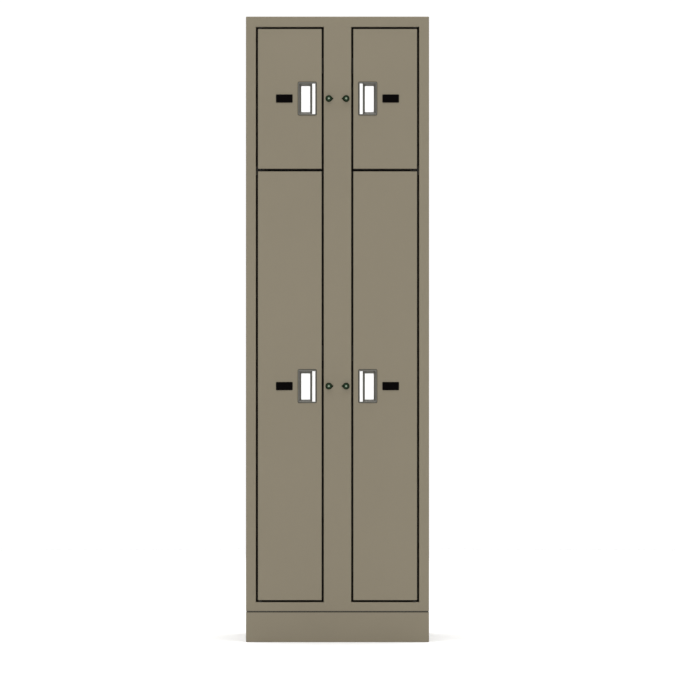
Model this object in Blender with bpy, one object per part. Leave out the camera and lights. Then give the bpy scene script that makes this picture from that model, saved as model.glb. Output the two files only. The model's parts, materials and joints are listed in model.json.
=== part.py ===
"""Evidence storage locker: two columns of doors, each with a short door over a tall one.

Lengths are in metres. X runs to the right, Y runs to the back and Z runs up. The origin is on the floor,
in the middle of the footprint. Every piece that comes in pairs is modelled once, for the right-hand
column, and mirrored for the left-hand one.
"""

import math

import bmesh
import bpy
from mathutils import Matrix, Vector

# Front elevation: widths from the side to the middle, heights from the floor up
STILE_W = 0.0333375
OPENING_W = 0.225425
MULLION_W = 0.092075
BASE_H = 0.1016
BOTTOM_RAIL_H = 0.03175
LOWER_BAY_H = 1.438275
UPPER_BAY_H = 0.47625
TOP_RAIL_H = 0.034925
DEPTH = 0.6096

# Sheet metal
FRAME_T = 0.002
SHEET_T = 0.0015
BEND_R = 0.0028
RETURN_D = 0.020
STOP_LIP_W = 0.014
PANEL_FLANGE_W = 0.018
PLINTH_FLANGE_W = 0.025
SHELF_FLANGE_H = 0.030
SHELF_ABOVE_GAP = 0.012

# Gap between pieces that touch, and how far a cutter runs past what it cuts
SEAT = 0.0003
OVERRUN = 0.004

# Doors
DOOR_GAP = 0.0047625
DOOR_T = 0.01905
LINER_PIN_GAP = 0.002
LINER_BORDER_W = 0.026
LINER_SLOPE_W = 0.006
LINER_PRESS_D = 0.0018

# Pivots: pins through the rails and on a bracket between the doors
PIVOT_INSET = 0.0095
PIN_R = 0.003
PIN_PLAY = 0.0003
PIN_REACH = 0.010
PIN_LEDGE = 0.0014
PIN_HEAD_H = 0.0025
PIN_CHAMFER = 0.0008
COLLAR_LEDGE = 0.002
BRACKET_CLEARANCE = 0.0008
BRACKET_REACH = 0.012
BRACKET_SIDE_GAP = 0.0015
BRACKET_DROP = 0.014

# Recessed pull
PULL_FROM_EDGE = 0.0245
PULL_W = 0.0604
PULL_H = 0.1096
PULL_CORNER_R = 0.0035
PULL_T = 0.0015
PULL_RIM_W = 0.0024
PULL_HOLE_PLAY = 0.0006
DISH_TO_LINER = 0.003
DISH_BEVEL_W = 0.0066
DISH_TAPER_W = 0.002
DISH_DROP = 0.0013
DISH_CORNER_R = 0.003
LIP_INSET = 0.0034
LIP_W = 0.0098
LIP_OVERLAP = 0.0009
LIP_TOP_GAP = 0.0023
LIP_PROUD = 0.0008
LIP_ROLL_R = 0.003
LIP_HEM_D = 0.0018

# Number plate
PLATE_FROM_PULL = 0.0194
PLATE_W = 0.0534
PLATE_H = 0.0254
PLATE_T = 0.0015
PLATE_CORNER_R = 0.0015

# Push-button lock in the mullion
LOCK_FROM_EDGE = 0.0172
BUTTON_R = 0.0074
BUTTON_TRAVEL = 0.010
BUTTON_FOOT_L = 0.008
BUTTON_CHAMFER = 0.0008
RUNNING_GAP = 0.0003
BARREL_WALL = 0.0018
BARREL_TO_BOLT = 0.001
BEZEL_LEDGE = 0.0017
BEZEL_H = 0.003
BEZEL_CHAMFER = 0.0009
LUG_REACH = 0.004
LUG_TIP_R = 0.0018
PLUG_R = 0.0044
PLUG_END_WALL = 0.0013
KEYWAY_W = 0.0013
KEYWAY_H = 0.0062
KEYWAY_D = 0.004
BOLT_D = 0.0065
BOLT_H = 0.012
BOLT_NOSE_REACH = 0.0028
BOLT_TIP_RECESS = 0.0005
BOLT_CHAMFER = 0.0012
KEEPER_PLAY = 0.001
CASE_WALL = 0.0034
CASE_BACK_WALL = 0.0015
CASE_CORNER_R = 0.0015

# Magnetic catch on the door stop
MAGNET_W = 0.0105
MAGNET_H = 0.046
MAGNET_D = 0.0043
MAGNET_ABOVE_LOCK = 0.110
POLE_T = 0.0028
POLE_PROUD = 0.0006
POLE_MARGIN = 0.004

# Roundness
BEND_STEPS = 2
CORNER_STEPS = 4
ROUND_SIDES = 24
PIN_SIDES = 16
FOLD_ANGLE = 30
SMOOTH_ANGLE = 35

# Sizes and places that follow from those above
WIDTH = 2 * (STILE_W + OPENING_W) + MULLION_W
OPENING_BOTTOM = BASE_H + BOTTOM_RAIL_H
MEETING_Z = OPENING_BOTTOM + LOWER_BAY_H
OPENING_TOP = MEETING_Z + UPPER_BAY_H
HEIGHT = OPENING_TOP + TOP_RAIL_H
MULLION_EDGE = MULLION_W / 2
STILE_EDGE = MULLION_EDGE + OPENING_W
BUTTON_PROUD = BEZEL_H + BUTTON_TRAVEL
FRONT = (BUTTON_PROUD - DEPTH) / 2
BACK = FRONT + DEPTH
JAMB_D = DOOR_T + SEAT + MAGNET_D + SEAT
STOP_BACK = FRONT + JAMB_D + FRAME_T
INNER_BACK = BACK - 2 * (SHEET_T + SEAT)
PARTITION_FACE = MULLION_EDGE - FRAME_T - SEAT
SIDE_INNER_FACE = WIDTH / 2 - SHEET_T
PIN_HOLE_R = PIN_R + PIN_PLAY
PIN_HEAD_R = PIN_R + PIN_LEDGE
COLLAR_R = PIN_R + COLLAR_LEDGE
PIVOT_SETBACK = BEND_R + SEAT + PIN_HEAD_R
PIVOT_X = STILE_EDGE - DOOR_GAP - PIVOT_INSET
PIVOT_Y = FRONT + PIVOT_SETBACK
DOOR_FREE_X = MULLION_EDGE + DOOR_GAP
PULL_X = MULLION_EDGE + PULL_FROM_EDGE + PULL_W / 2
PLATE_X = PULL_X + PULL_W / 2 + PLATE_FROM_PULL + PLATE_W / 2
LOCK_X = MULLION_EDGE - LOCK_FROM_EDGE
BORE_R = BUTTON_R + RUNNING_GAP
BARREL_R = BORE_R + BARREL_WALL
BARREL_SEAT_R = BARREL_R + SEAT
LINER_FRONT = PIVOT_SETBACK + PIN_R + LINER_PIN_GAP
BOLT_BACK = LINER_FRONT - KEEPER_PLAY
BOLT_FRONT = BOLT_BACK - BOLT_D
BARREL_L = BOLT_FRONT - BARREL_TO_BOLT
RAMP_SUM = BOLT_BACK - BOLT_NOSE_REACH

SIDES = (("left", -1), ("right", 1))
LEVELS = (
    ("upper", MEETING_Z + DOOR_GAP / 2, OPENING_TOP - DOOR_GAP, (MEETING_Z + OPENING_TOP) / 2),
    ("lower", OPENING_BOTTOM + DOOR_GAP, MEETING_Z - DOOR_GAP / 2, (OPENING_BOTTOM + MEETING_Z) / 2),
)


def bays():
    """The four bays: name, side, bottom and top of the door, and the height of its pull and its lock."""
    for level, bottom, top, middle in LEVELS:
        for side_name, side in SIDES:
            yield f"{level}_{side_name}", side, bottom, top, middle


def clear_scene():
    for obj in list(bpy.data.objects):
        bpy.data.objects.remove(obj)


def material(name, colour, roughness, metallic):
    made = bpy.data.materials.new(name)
    made.use_nodes = True
    shader = made.node_tree.nodes["Principled BSDF"]
    shader.inputs["Base Color"].default_value = (*colour, 1)
    shader.inputs["Roughness"].default_value = roughness
    shader.inputs["Metallic"].default_value = metallic
    made.diffuse_color = (*colour, 1)
    return made


def make_materials():
    return {
        "paint": material("taupe_powder_coat", (0.258, 0.231, 0.165), 0.55, 0),
        "stainless": material("satin_stainless", (0.80, 0.80, 0.79), 0.28, 1),
        "plate": material("black_plate", (0.008, 0.007, 0.008), 0.45, 0),
        "bezel": material("black_oxide", (0.010, 0.013, 0.009), 0.40, 0.6),
        "green": material("green_enamel", (0.020, 0.110, 0.045), 0.35, 0.3),
        "nickel": material("satin_nickel", (0.62, 0.64, 0.60), 0.30, 1),
        "zinc": material("die_cast_zinc", (0.42, 0.43, 0.44), 0.50, 1),
        "steel": material("plated_steel", (0.46, 0.46, 0.47), 0.35, 1),
        "magnet": material("dark_magnet", (0.045, 0.045, 0.048), 0.50, 0),
    }


def moved(mesh, origin, side=1):
    """Carries a right-hand shape to its place, and over to the left-hand column when side is -1."""
    bmesh.ops.translate(mesh, vec=origin, verts=mesh.verts)
    if side < 0:
        bmesh.ops.scale(mesh, vec=(side, 1, 1), verts=mesh.verts)
        bmesh.ops.reverse_faces(mesh, faces=mesh.faces)
    return mesh


def place(name, mesh, finish, origin=(0, 0, 0), side=1, parent=None):
    """Makes an object of a right-hand shape drawn round its own origin, which becomes the object's."""
    location = Vector((side * origin[0], origin[1], origin[2]))
    data = bpy.data.meshes.new(name)
    moved(mesh, (0, 0, 0), side)
    mesh.to_mesh(data)
    mesh.free()
    data.materials.append(finish)
    obj = bpy.data.objects.new(name, data)
    bpy.context.scene.collection.objects.link(obj)
    obj.location = location
    if parent is not None:
        obj.parent = parent
        obj.matrix_parent_inverse = Matrix.Translation(-parent.location)
    return obj


def joint_empty(name, origin, side):
    empty = bpy.data.objects.new(name, None)
    bpy.context.scene.collection.objects.link(empty)
    empty.empty_display_size = PULL_W
    empty.location = (side * origin[0], origin[1], origin[2])
    return empty


def combine(obj, operation, shapes):
    """Cuts shapes from an object, or joins them to it. They are given in place, clear of each other."""
    data = bpy.data.meshes.new(f"{operation.lower()}_{len(obj.modifiers)}_{obj.name}")
    whole = bmesh.new()
    for shape in shapes:
        shape.to_mesh(data)
        shape.free()
        whole.from_mesh(data)
    whole.to_mesh(data)
    whole.free()
    other = bpy.data.objects.new(data.name, data)
    bpy.context.scene.collection.objects.link(other)
    other.hide_render = True
    other.display_type = "WIRE"
    modifier = obj.modifiers.new(operation.lower(), "BOOLEAN")
    modifier.operation = operation
    modifier.object = other
    modifier.solver = "EXACT"


def cut(obj, *shapes):
    combine(obj, "DIFFERENCE", shapes)


def join(obj, *shapes):
    combine(obj, "UNION", shapes)


def give_thickness(obj, thickness):
    """Turns a folded surface into sheet metal, on the side away from its outer face."""
    modifier = obj.modifiers.new("sheet", "SOLIDIFY")
    modifier.thickness = thickness
    modifier.offset = -1
    modifier.use_even_offset = True
    modifier.use_quality_normals = True


def smooth(obj):
    obj.data.shade_smooth()
    obj.data.set_sharp_from_angle(angle=math.radians(SMOOTH_ANGLE))


def box(low, high):
    mesh = bmesh.new()
    bmesh.ops.create_cube(mesh, size=1)
    low, high = Vector(low), Vector(high)
    bmesh.ops.scale(mesh, vec=high - low, verts=mesh.verts)
    bmesh.ops.translate(mesh, vec=(low + high) / 2, verts=mesh.verts)
    return mesh


def round_folds(mesh, wanted=None):
    """Gives the folds of a sheet their bend radius: all of them, or those that wanted picks."""
    folds = [
        edge
        for edge in mesh.edges
        if len(edge.link_faces) == 2
        and edge.calc_face_angle(0) > math.radians(FOLD_ANGLE)
        and (wanted is None or wanted(edge))
    ]
    bmesh.ops.bevel(mesh, geom=folds, offset=BEND_R, segments=BEND_STEPS, profile=0.5, affect="EDGES")


def tray(low, high, *open_sides):
    """A folded tray: the outer faces of a box, without those on its open sides."""
    mesh = box(low, high)
    axes = {"x": Vector((1, 0, 0)), "y": Vector((0, 1, 0)), "z": Vector((0, 0, 1))}
    for side in open_sides:
        outward = axes[side[1]] * (1 if side[0] == "+" else -1)
        gone = [face for face in mesh.faces if face.normal.dot(outward) > 0.5]
        bmesh.ops.delete(mesh, geom=gone, context="FACES")
    round_folds(mesh)
    return mesh


def prism(outline, start, end, axis="y"):
    """An outline of (across, up) points extruded along Y, or of (across, depth) points extruded along Z."""
    mesh = bmesh.new()
    verts = [
        mesh.verts.new((a, start, b) if axis == "y" else (a, b, start)) for a, b in outline
    ]
    grown = bmesh.ops.extrude_face_region(mesh, geom=[mesh.faces.new(verts)])
    far = [part for part in grown["geom"] if isinstance(part, bmesh.types.BMVert)]
    step = (0, end - start, 0) if axis == "y" else (0, 0, end - start)
    bmesh.ops.translate(mesh, vec=step, verts=far)
    bmesh.ops.recalc_face_normals(mesh, faces=mesh.faces)
    return mesh


def arc(centre, radius, start, end, steps=CORNER_STEPS):
    """Points along an arc between two angles in degrees."""
    points = []
    for i in range(steps + 1):
        angle = math.radians(start + (end - start) * i / steps)
        points.append((centre[0] + radius * math.cos(angle), centre[1] + radius * math.sin(angle)))
    return points


def rounded_rectangle(left, right, bottom, top, radius):
    low_x, high_x, low_z, high_z = left + radius, right - radius, bottom + radius, top - radius
    return (
        arc((high_x, high_z), radius, 0, 90)
        + arc((low_x, high_z), radius, 90, 180)
        + arc((low_x, low_z), radius, 180, 270)
        + arc((high_x, low_z), radius, 270, 360)
    )


def turned(profile, axis, sides):
    """A turned body about Y or Z, from a profile of (radius, along) points."""
    mesh = bmesh.new()
    rings = []
    for radius, along in profile:
        ring = []
        for i in range(sides if radius > 0 else 1):
            angle = 2 * math.pi * (i + 0.5) / sides
            a, b = radius * math.cos(angle), radius * math.sin(angle)
            ring.append(mesh.verts.new((a, along, b) if axis == "y" else (a, b, along)))
        rings.append(ring)
    if profile[0][0] > 0:
        rings.append(rings[0])
    for ring, following in zip(rings, rings[1:]):
        for i in range(sides):
            j = (i + 1) % sides
            corners = (ring[i % len(ring)], ring[j % len(ring)],
                       following[j % len(following)], following[i % len(following)])
            mesh.faces.new(dict.fromkeys(corners))
    bmesh.ops.recalc_face_normals(mesh, faces=mesh.faces)
    return mesh


def lofted(stations):
    """A closed body through (outline, depth) stations, capped at the first and the last."""
    mesh = bmesh.new()
    rings = [[mesh.verts.new((a, depth, b)) for a, b in outline] for outline, depth in stations]
    for ring, following in zip(rings, rings[1:]):
        for i in range(len(ring)):
            j = (i + 1) % len(ring)
            mesh.faces.new((ring[i], ring[j], following[j], following[i]))
    mesh.faces.new(rings[0])
    mesh.faces.new(rings[-1])
    bmesh.ops.recalc_face_normals(mesh, faces=mesh.faces)
    return mesh


def pin_hole(x, y, z):
    reach = FRAME_T + OVERRUN
    hole = turned([(0, -reach), (PIN_HOLE_R, -reach), (PIN_HOLE_R, reach), (0, reach)], "z", PIN_SIDES)
    return moved(hole, (x, y, z))


def bolt_slot(near, far, middle, side):
    """The slot that the lock bolt passes through, from one distance across to another."""
    low = (near, FRONT + BOLT_FRONT - KEEPER_PLAY, middle - BOLT_H / 2 - KEEPER_PLAY)
    high = (far, FRONT + BOLT_BACK + KEEPER_PLAY, middle + BOLT_H / 2 + KEEPER_PLAY)
    return moved(box(low, high), (0, 0, 0), side)


def sheet_surface(faces):
    """A folded surface from the corners of its flat faces, turned so that its front face looks forward."""
    mesh = bmesh.new()
    for corners in faces:
        mesh.faces.new([mesh.verts.new(corner) for corner in corners])
    bmesh.ops.remove_doubles(mesh, verts=mesh.verts, dist=SEAT / 2)
    bmesh.ops.recalc_face_normals(mesh, faces=mesh.faces)
    front = next(face for face in mesh.faces if all(abs(vert.co.y - FRONT) < SEAT for vert in face.verts))
    if front.normal.y > 0:
        bmesh.ops.reverse_faces(mesh, faces=mesh.faces)
    round_folds(mesh, shows_in_front)
    return mesh


def shows_in_front(edge):
    """Picks the folds at the front face and at the outer corners, not those at the door stops."""
    in_front = all(abs(vert.co.y - FRONT) < SEAT for vert in edge.verts)
    at_side = all(abs(abs(vert.co.x) - WIDTH / 2) < SEAT for vert in edge.verts)
    return in_front or at_side


def stile_surface():
    """The right-hand stile: its face, a return on its outer edges and the jamb on the hinge side.

    The face has a corner just past each end of the jamb, so that the fold's rounding stops there.
    """
    near, far = STILE_EDGE, WIDTH / 2
    behind, stop = FRONT + RETURN_D, FRONT + JAMB_D
    ends = [
        [(near, FRONT, z), (far, FRONT, z), (far, behind, z), (near, behind, z)] for z in (BASE_H, HEIGHT)
    ]
    return sheet_surface([
        [(near, FRONT, BASE_H), (near, FRONT, OPENING_BOTTOM - SEAT), (near, FRONT, OPENING_BOTTOM),
         (near, FRONT, OPENING_TOP), (near, FRONT, OPENING_TOP + SEAT), (near, FRONT, HEIGHT),
         (far, FRONT, HEIGHT), (far, FRONT, BASE_H)],
        [(far, FRONT, BASE_H), (far, FRONT, HEIGHT), (far, behind, HEIGHT), (far, behind, BASE_H)],
        [(near, FRONT, OPENING_BOTTOM), (near, FRONT, OPENING_TOP),
         (near, stop, OPENING_TOP), (near, stop, OPENING_BOTTOM)],
        *ends,
    ])


def mullion_surface():
    """The mullion: its face between the rails, and a jamb and a door stop along each opening."""
    bottom, top = OPENING_BOTTOM + SEAT, OPENING_TOP - SEAT
    low, high = bottom + STOP_LIP_W, top - STOP_LIP_W
    stop = FRONT + JAMB_D
    faces = [[(-MULLION_EDGE, FRONT, bottom), (MULLION_EDGE, FRONT, bottom),
              (MULLION_EDGE, FRONT, top), (-MULLION_EDGE, FRONT, top)]]
    for _, side in SIDES:
        edge, lip = side * MULLION_EDGE, side * (MULLION_EDGE + STOP_LIP_W)
        faces += [
            [(edge, FRONT, bottom), (edge, FRONT, top), (edge, stop, top),
             (edge, stop, high), (edge, stop, low), (edge, stop, bottom)],
            [(edge, stop, low), (edge, stop, high), (lip, stop, high), (lip, stop, low)],
        ]
    return sheet_surface(faces)


def rail_surface(edge, outer_edge):
    """A rail between the stiles: its face, the outer return, and a ledge and a door stop at each opening."""
    end, near = STILE_EDGE - SEAT, MULLION_EDGE + SEAT
    behind, stop = FRONT + RETURN_D, FRONT + JAMB_D
    lip = edge + math.copysign(STOP_LIP_W, edge - outer_edge)
    faces = [
        [(-end, FRONT, edge), (-near, FRONT, edge), (-MULLION_EDGE, FRONT, edge),
         (MULLION_EDGE, FRONT, edge), (near, FRONT, edge), (end, FRONT, edge),
         (end, FRONT, outer_edge), (-end, FRONT, outer_edge)],
        [(-end, FRONT, outer_edge), (end, FRONT, outer_edge),
         (end, behind, outer_edge), (-end, behind, outer_edge)],
    ]
    for _, side in SIDES:
        a, b = side * near, side * end
        faces += [
            [(a, FRONT, edge), (b, FRONT, edge), (b, stop, edge), (a, stop, edge)],
            [(a, stop, edge), (b, stop, edge), (b, stop, lip), (a, stop, lip)],
        ]
    return sheet_surface(faces)


def make_frame_member(name, mesh, finish, side=1, holes=()):
    member = place(name, mesh, finish["paint"], side=side)
    give_thickness(member, FRAME_T)
    if holes:
        cut(member, *holes)
    smooth(member)


def make_face_frame(finish):
    """The front of the cabinet, welded up of two stiles, two rails and the mullion that holds the locks."""
    for name, side in SIDES:
        make_frame_member(f"{name}_stile", stile_surface(), finish, side)
    for name, edge, outer_edge in (("bottom", OPENING_BOTTOM, BASE_H), ("top", OPENING_TOP, HEIGHT)):
        holes = [pin_hole(side * PIVOT_X, PIVOT_Y, edge) for _, side in SIDES]
        make_frame_member(f"{name}_rail", rail_surface(edge, outer_edge), finish, holes=holes)
    reach = FRAME_T + OVERRUN
    holes = []
    for _, side, _, _, middle in bays():
        bore = [(0, -OVERRUN), (BARREL_SEAT_R, -OVERRUN), (BARREL_SEAT_R, reach), (0, reach)]
        holes.append(moved(turned(bore, "y", ROUND_SIDES), (LOCK_X, FRONT, middle), side))
        holes.append(bolt_slot(MULLION_EDGE - reach, MULLION_EDGE + OVERRUN, middle, side))
    make_frame_member("mullion", mullion_surface(), finish, holes=holes)


def make_panel(name, mesh, finish, side=1):
    panel = place(name, mesh, finish["paint"], side=side)
    give_thickness(panel, SHEET_T)
    smooth(panel)


def make_cabinet(finish):
    """The panels behind the face frame: sides, double partition, shelves, floor, cap and back."""
    panel_front = FRONT + RETURN_D + SEAT
    shelf_front = STOP_BACK + SEAT
    side_low = (WIDTH / 2 - PANEL_FLANGE_W, panel_front, BASE_H)
    side_high = (WIDTH / 2, BACK, HEIGHT - RETURN_D - SEAT)
    wall_front = FRONT + BOLT_BACK + KEEPER_PLAY + SEAT
    wall_low = (-PARTITION_FACE, wall_front, OPENING_BOTTOM + SEAT)
    wall_high = (PARTITION_FACE, INNER_BACK, HEIGHT - FRAME_T - SEAT)
    shelf_top = MEETING_Z + SHELF_ABOVE_GAP
    shelf_low = (PARTITION_FACE + SEAT, shelf_front, shelf_top - SHELF_FLANGE_H)
    shelf_high = (SIDE_INNER_FACE - SEAT, INNER_BACK, shelf_top)
    for name, side in SIDES:
        make_panel(f"{name}_side_panel", tray(side_low, side_high, "-x", "+z"), finish, side)
        make_panel(f"{name}_shelf", tray(shelf_low, shelf_high, "-z"), finish, side)
    make_panel("centre_partition", tray(wall_low, wall_high, "-y"), finish)
    half = SIDE_INNER_FACE - SEAT
    floor_low = BASE_H + SHEET_T + BEND_R
    floor = tray((-half, shelf_front, floor_low), (half, INNER_BACK, OPENING_BOTTOM), "-z")
    make_panel("floor_panel", floor, finish)
    cap = tray((-WIDTH / 2, panel_front, HEIGHT - RETURN_D), (WIDTH / 2, BACK, HEIGHT), "-z", "-y")
    make_panel("top_cap", cap, finish)
    back_half = WIDTH / 2 - BEND_R - SEAT
    back_face = BACK - SHEET_T - SEAT
    back_top = HEIGHT - BEND_R - SEAT
    back = box((-back_half, back_face - SHEET_T, floor_low), (back_half, back_face, back_top))
    place("back_panel", back, finish["paint"])


def make_plinth(finish):
    """The base: four walls with a flange turned in at the floor and another under the cabinet."""
    mesh = box((-WIDTH / 2, FRONT, 0), (WIDTH / 2, BACK, BASE_H - SEAT))
    ends = [face for face in mesh.faces if abs(face.normal.z) > 0.5]
    bmesh.ops.inset_individual(mesh, faces=ends, thickness=PLINTH_FLANGE_W)
    bmesh.ops.delete(mesh, geom=ends, context="FACES")
    round_folds(mesh)
    plinth = place("base_plinth", mesh, finish["paint"])
    give_thickness(plinth, FRAME_T)
    smooth(plinth)


def make_end_pivot(name, side, z, up, finish):
    """A headed pin through a rail. Its collar keeps the door off the rail, and up says which rail it is."""
    head = FRAME_T + SEAT + PIN_HEAD_H
    tip = DOOR_GAP + PIN_REACH
    profile = [
        (0, head),
        (PIN_HEAD_R - PIN_CHAMFER, head),
        (PIN_HEAD_R, head - PIN_CHAMFER),
        (PIN_HEAD_R, FRAME_T + SEAT),
        (PIN_R, FRAME_T + SEAT),
        (PIN_R, -SEAT),
        (COLLAR_R, -SEAT),
        (COLLAR_R, SEAT - DOOR_GAP),
        (PIN_R, SEAT - DOOR_GAP),
        (PIN_R, PIN_CHAMFER - tip),
        (PIN_R - PIN_CHAMFER, -tip),
        (0, -tip),
    ]
    mesh = turned([(radius, up * along) for radius, along in profile], "z", PIN_SIDES)
    smooth(place(name, mesh, finish["steel"], (PIVOT_X, PIVOT_Y, z), side))


def make_middle_pivot(name, side, finish):
    """The bracket on the shelf's flange: a tongue between the doors, with a pin up and a pin down."""
    tongue_t = DOOR_GAP - 2 * BRACKET_CLEARANCE
    leg_back = STOP_BACK - PIVOT_Y
    leg_front = leg_back - tongue_t
    outer = PIVOT_INSET + DOOR_GAP - BRACKET_SIDE_GAP
    outline = [
        (-COLLAR_R, leg_front), *arc((0, 0), COLLAR_R, 180, 360, 2 * CORNER_STEPS),
        (COLLAR_R, leg_front), (outer, leg_front), (outer, leg_back),
        (-BRACKET_REACH, leg_back), (-BRACKET_REACH, leg_front),
    ]
    tongue = prism(outline, -tongue_t / 2, tongue_t / 2, "z")
    bracket = place(name, tongue, finish["steel"], (PIVOT_X, PIVOT_Y, MEETING_Z), side)
    leg = box((-BRACKET_REACH, leg_front, -BRACKET_DROP), (outer, leg_back, SHELF_ABOVE_GAP - BEND_R))
    tip = DOOR_GAP / 2 + PIN_REACH
    boss = DOOR_GAP / 2 - SEAT
    boss_r = COLLAR_R - PIN_CHAMFER
    profile = [
        (0, -tip), (PIN_R - PIN_CHAMFER, -tip), (PIN_R, PIN_CHAMFER - tip), (PIN_R, 0), (boss_r, 0),
        (boss_r, boss), (PIN_R, boss), (PIN_R, tip - PIN_CHAMFER), (PIN_R - PIN_CHAMFER, tip), (0, tip),
    ]
    pin = turned(profile, "z", PIN_SIDES)
    join(bracket, *(moved(shape, (PIVOT_X, PIVOT_Y, MEETING_Z), side) for shape in (leg, pin)))
    smooth(bracket)


def make_pivots(finish):
    for name, side in SIDES:
        make_end_pivot(f"{name}_top_pivot", side, OPENING_TOP, 1, finish)
        make_end_pivot(f"{name}_bottom_pivot", side, OPENING_BOTTOM, -1, finish)
        make_middle_pivot(f"{name}_middle_pivot", side, finish)


def make_door_shell(name, side, bottom, top, middle, finish, hinge):
    """The outer tray of a door, with holes for its pins, its pull and the lock bolt."""
    low = (DOOR_FREE_X - PIVOT_X, -PIVOT_SETBACK, 0)
    high = (PIVOT_INSET, DOOR_T - PIVOT_SETBACK, top - bottom)
    shell = place(f"{name}_door_shell", tray(low, high, "+y"), finish["paint"],
                  (PIVOT_X, PIVOT_Y, bottom), side, hinge)
    give_thickness(shell, SHEET_T)
    half_w = PULL_W / 2 - PULL_RIM_W + PULL_HOLE_PLAY
    half_h = PULL_H / 2 - PULL_RIM_W + PULL_HOLE_PLAY
    outline = rounded_rectangle(-half_w, half_w, -half_h, half_h, DISH_CORNER_R)
    pull_hole = prism(outline, -OVERRUN, SHEET_T + OVERRUN)
    cut(
        shell,
        moved(pull_hole, (PULL_X, FRONT, middle), side),
        bolt_slot(DOOR_FREE_X - OVERRUN, DOOR_FREE_X + SHEET_T + SEAT, middle, side),
        pin_hole(side * PIVOT_X, PIVOT_Y, bottom),
        pin_hole(side * PIVOT_X, PIVOT_Y, top),
    )
    smooth(shell)


def make_door_liner(name, side, bottom, top, finish, hinge):
    """The inner tray, nested in the shell behind pins and bolt, with its field pressed in to stiffen it."""
    nest = SHEET_T + SEAT
    low = (DOOR_FREE_X - PIVOT_X + nest, LINER_FRONT - PIVOT_SETBACK, nest)
    high = (PIVOT_INSET - nest, DOOR_T - PIVOT_SETBACK, top - bottom - nest)
    mesh = tray(low, high, "-y")
    field = max(mesh.faces, key=lambda face: face.calc_area() * abs(face.normal.y))
    bmesh.ops.inset_individual(mesh, faces=[field], thickness=LINER_BORDER_W)
    bmesh.ops.inset_individual(mesh, faces=[field], thickness=LINER_SLOPE_W, depth=-LINER_PRESS_D)
    liner = place(f"{name}_door_liner", mesh, finish["paint"], (PIVOT_X, PIVOT_Y, bottom), side, hinge)
    give_thickness(liner, SHEET_T)
    smooth(liner)


def make_pull(name, side, middle, finish, hinge):
    """The drawn pull: a rim on the door, a dish with sloped walls, and a raised lip with a rolled edge."""
    half_w, half_h = PULL_W / 2, PULL_H / 2
    dish_w, dish_h = half_w - PULL_RIM_W, half_h - PULL_RIM_W
    rim_front, rim_back = -SEAT - PULL_T, -SEAT
    floor_back = DOOR_T - SHEET_T - LINER_PRESS_D - DISH_TO_LINER
    mouth_w, mouth_h = dish_w - PULL_T, dish_h - PULL_T
    floor_w, floor_h = mouth_w - DISH_BEVEL_W, mouth_h - DISH_BEVEL_W
    latch_mouth = DISH_TAPER_W - dish_w
    latch_floor = latch_mouth + PULL_T
    rim = rounded_rectangle(-half_w, half_w, -half_h, half_h, PULL_CORNER_R)
    mouth = rounded_rectangle(latch_mouth, mouth_w, -mouth_h, mouth_h, DISH_CORNER_R)
    floor_low, floor_high = -floor_h - DISH_DROP, floor_h - DISH_DROP
    floor = rounded_rectangle(latch_floor, floor_w, floor_low, floor_high, DISH_CORNER_R)
    back_mouth = rounded_rectangle(-dish_w, dish_w, -dish_h, dish_h, DISH_CORNER_R)
    back_floor = rounded_rectangle(
        latch_floor - PULL_T, floor_w + PULL_T, floor_low - PULL_T, floor_high + PULL_T, DISH_CORNER_R
    )
    mesh = lofted([
        (floor, floor_back - PULL_T), (mouth, rim_front), (rim, rim_front),
        (rim, rim_back), (back_mouth, rim_back), (back_floor, floor_back),
    ])
    pull = place(f"{name}_pull", mesh, finish["stainless"], (PULL_X, FRONT, middle), side, hinge)
    start, end = LIP_INSET - half_w, LIP_INSET - half_w + LIP_W
    lip_front = rim_front - LIP_PROUD
    lip_back = lip_front + PULL_T
    hem_back = lip_front + LIP_ROLL_R + LIP_HEM_D
    roll = (end, lip_front + LIP_ROLL_R)
    section = [
        (start, lip_back), (start, lip_front), *arc(roll, LIP_ROLL_R, 270, 360),
        (end + LIP_ROLL_R, hem_back), (end + LIP_ROLL_R - PULL_T, hem_back),
        *arc(roll, LIP_ROLL_R - PULL_T, 360, 270),
    ]
    lip = prism(section, -mouth_h - LIP_OVERLAP, mouth_h + LIP_OVERLAP - LIP_TOP_GAP, "z")
    join(pull, moved(lip, (PULL_X, FRONT, middle), side))
    smooth(pull)


def make_number_plate(name, side, middle, finish, hinge):
    half_w, half_h = PLATE_W / 2, PLATE_H / 2
    outline = rounded_rectangle(-half_w, half_w, -half_h, half_h, PLATE_CORNER_R)
    mesh = prism(outline, -SEAT - PLATE_T, -SEAT)
    place(f"{name}_number_plate", mesh, finish["plate"], (PLATE_X, FRONT, middle), side, hinge)


def make_doors(finish):
    for name, side, bottom, top, middle in bays():
        hinge = joint_empty(f"{name}_door_hinge", (PIVOT_X, PIVOT_Y, bottom), side)
        make_door_shell(name, side, bottom, top, middle, finish, hinge)
        make_door_liner(name, side, bottom, top, finish, hinge)
        make_pull(name, side, middle, finish, hinge)
        make_number_plate(name, side, middle, finish, hinge)


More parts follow.
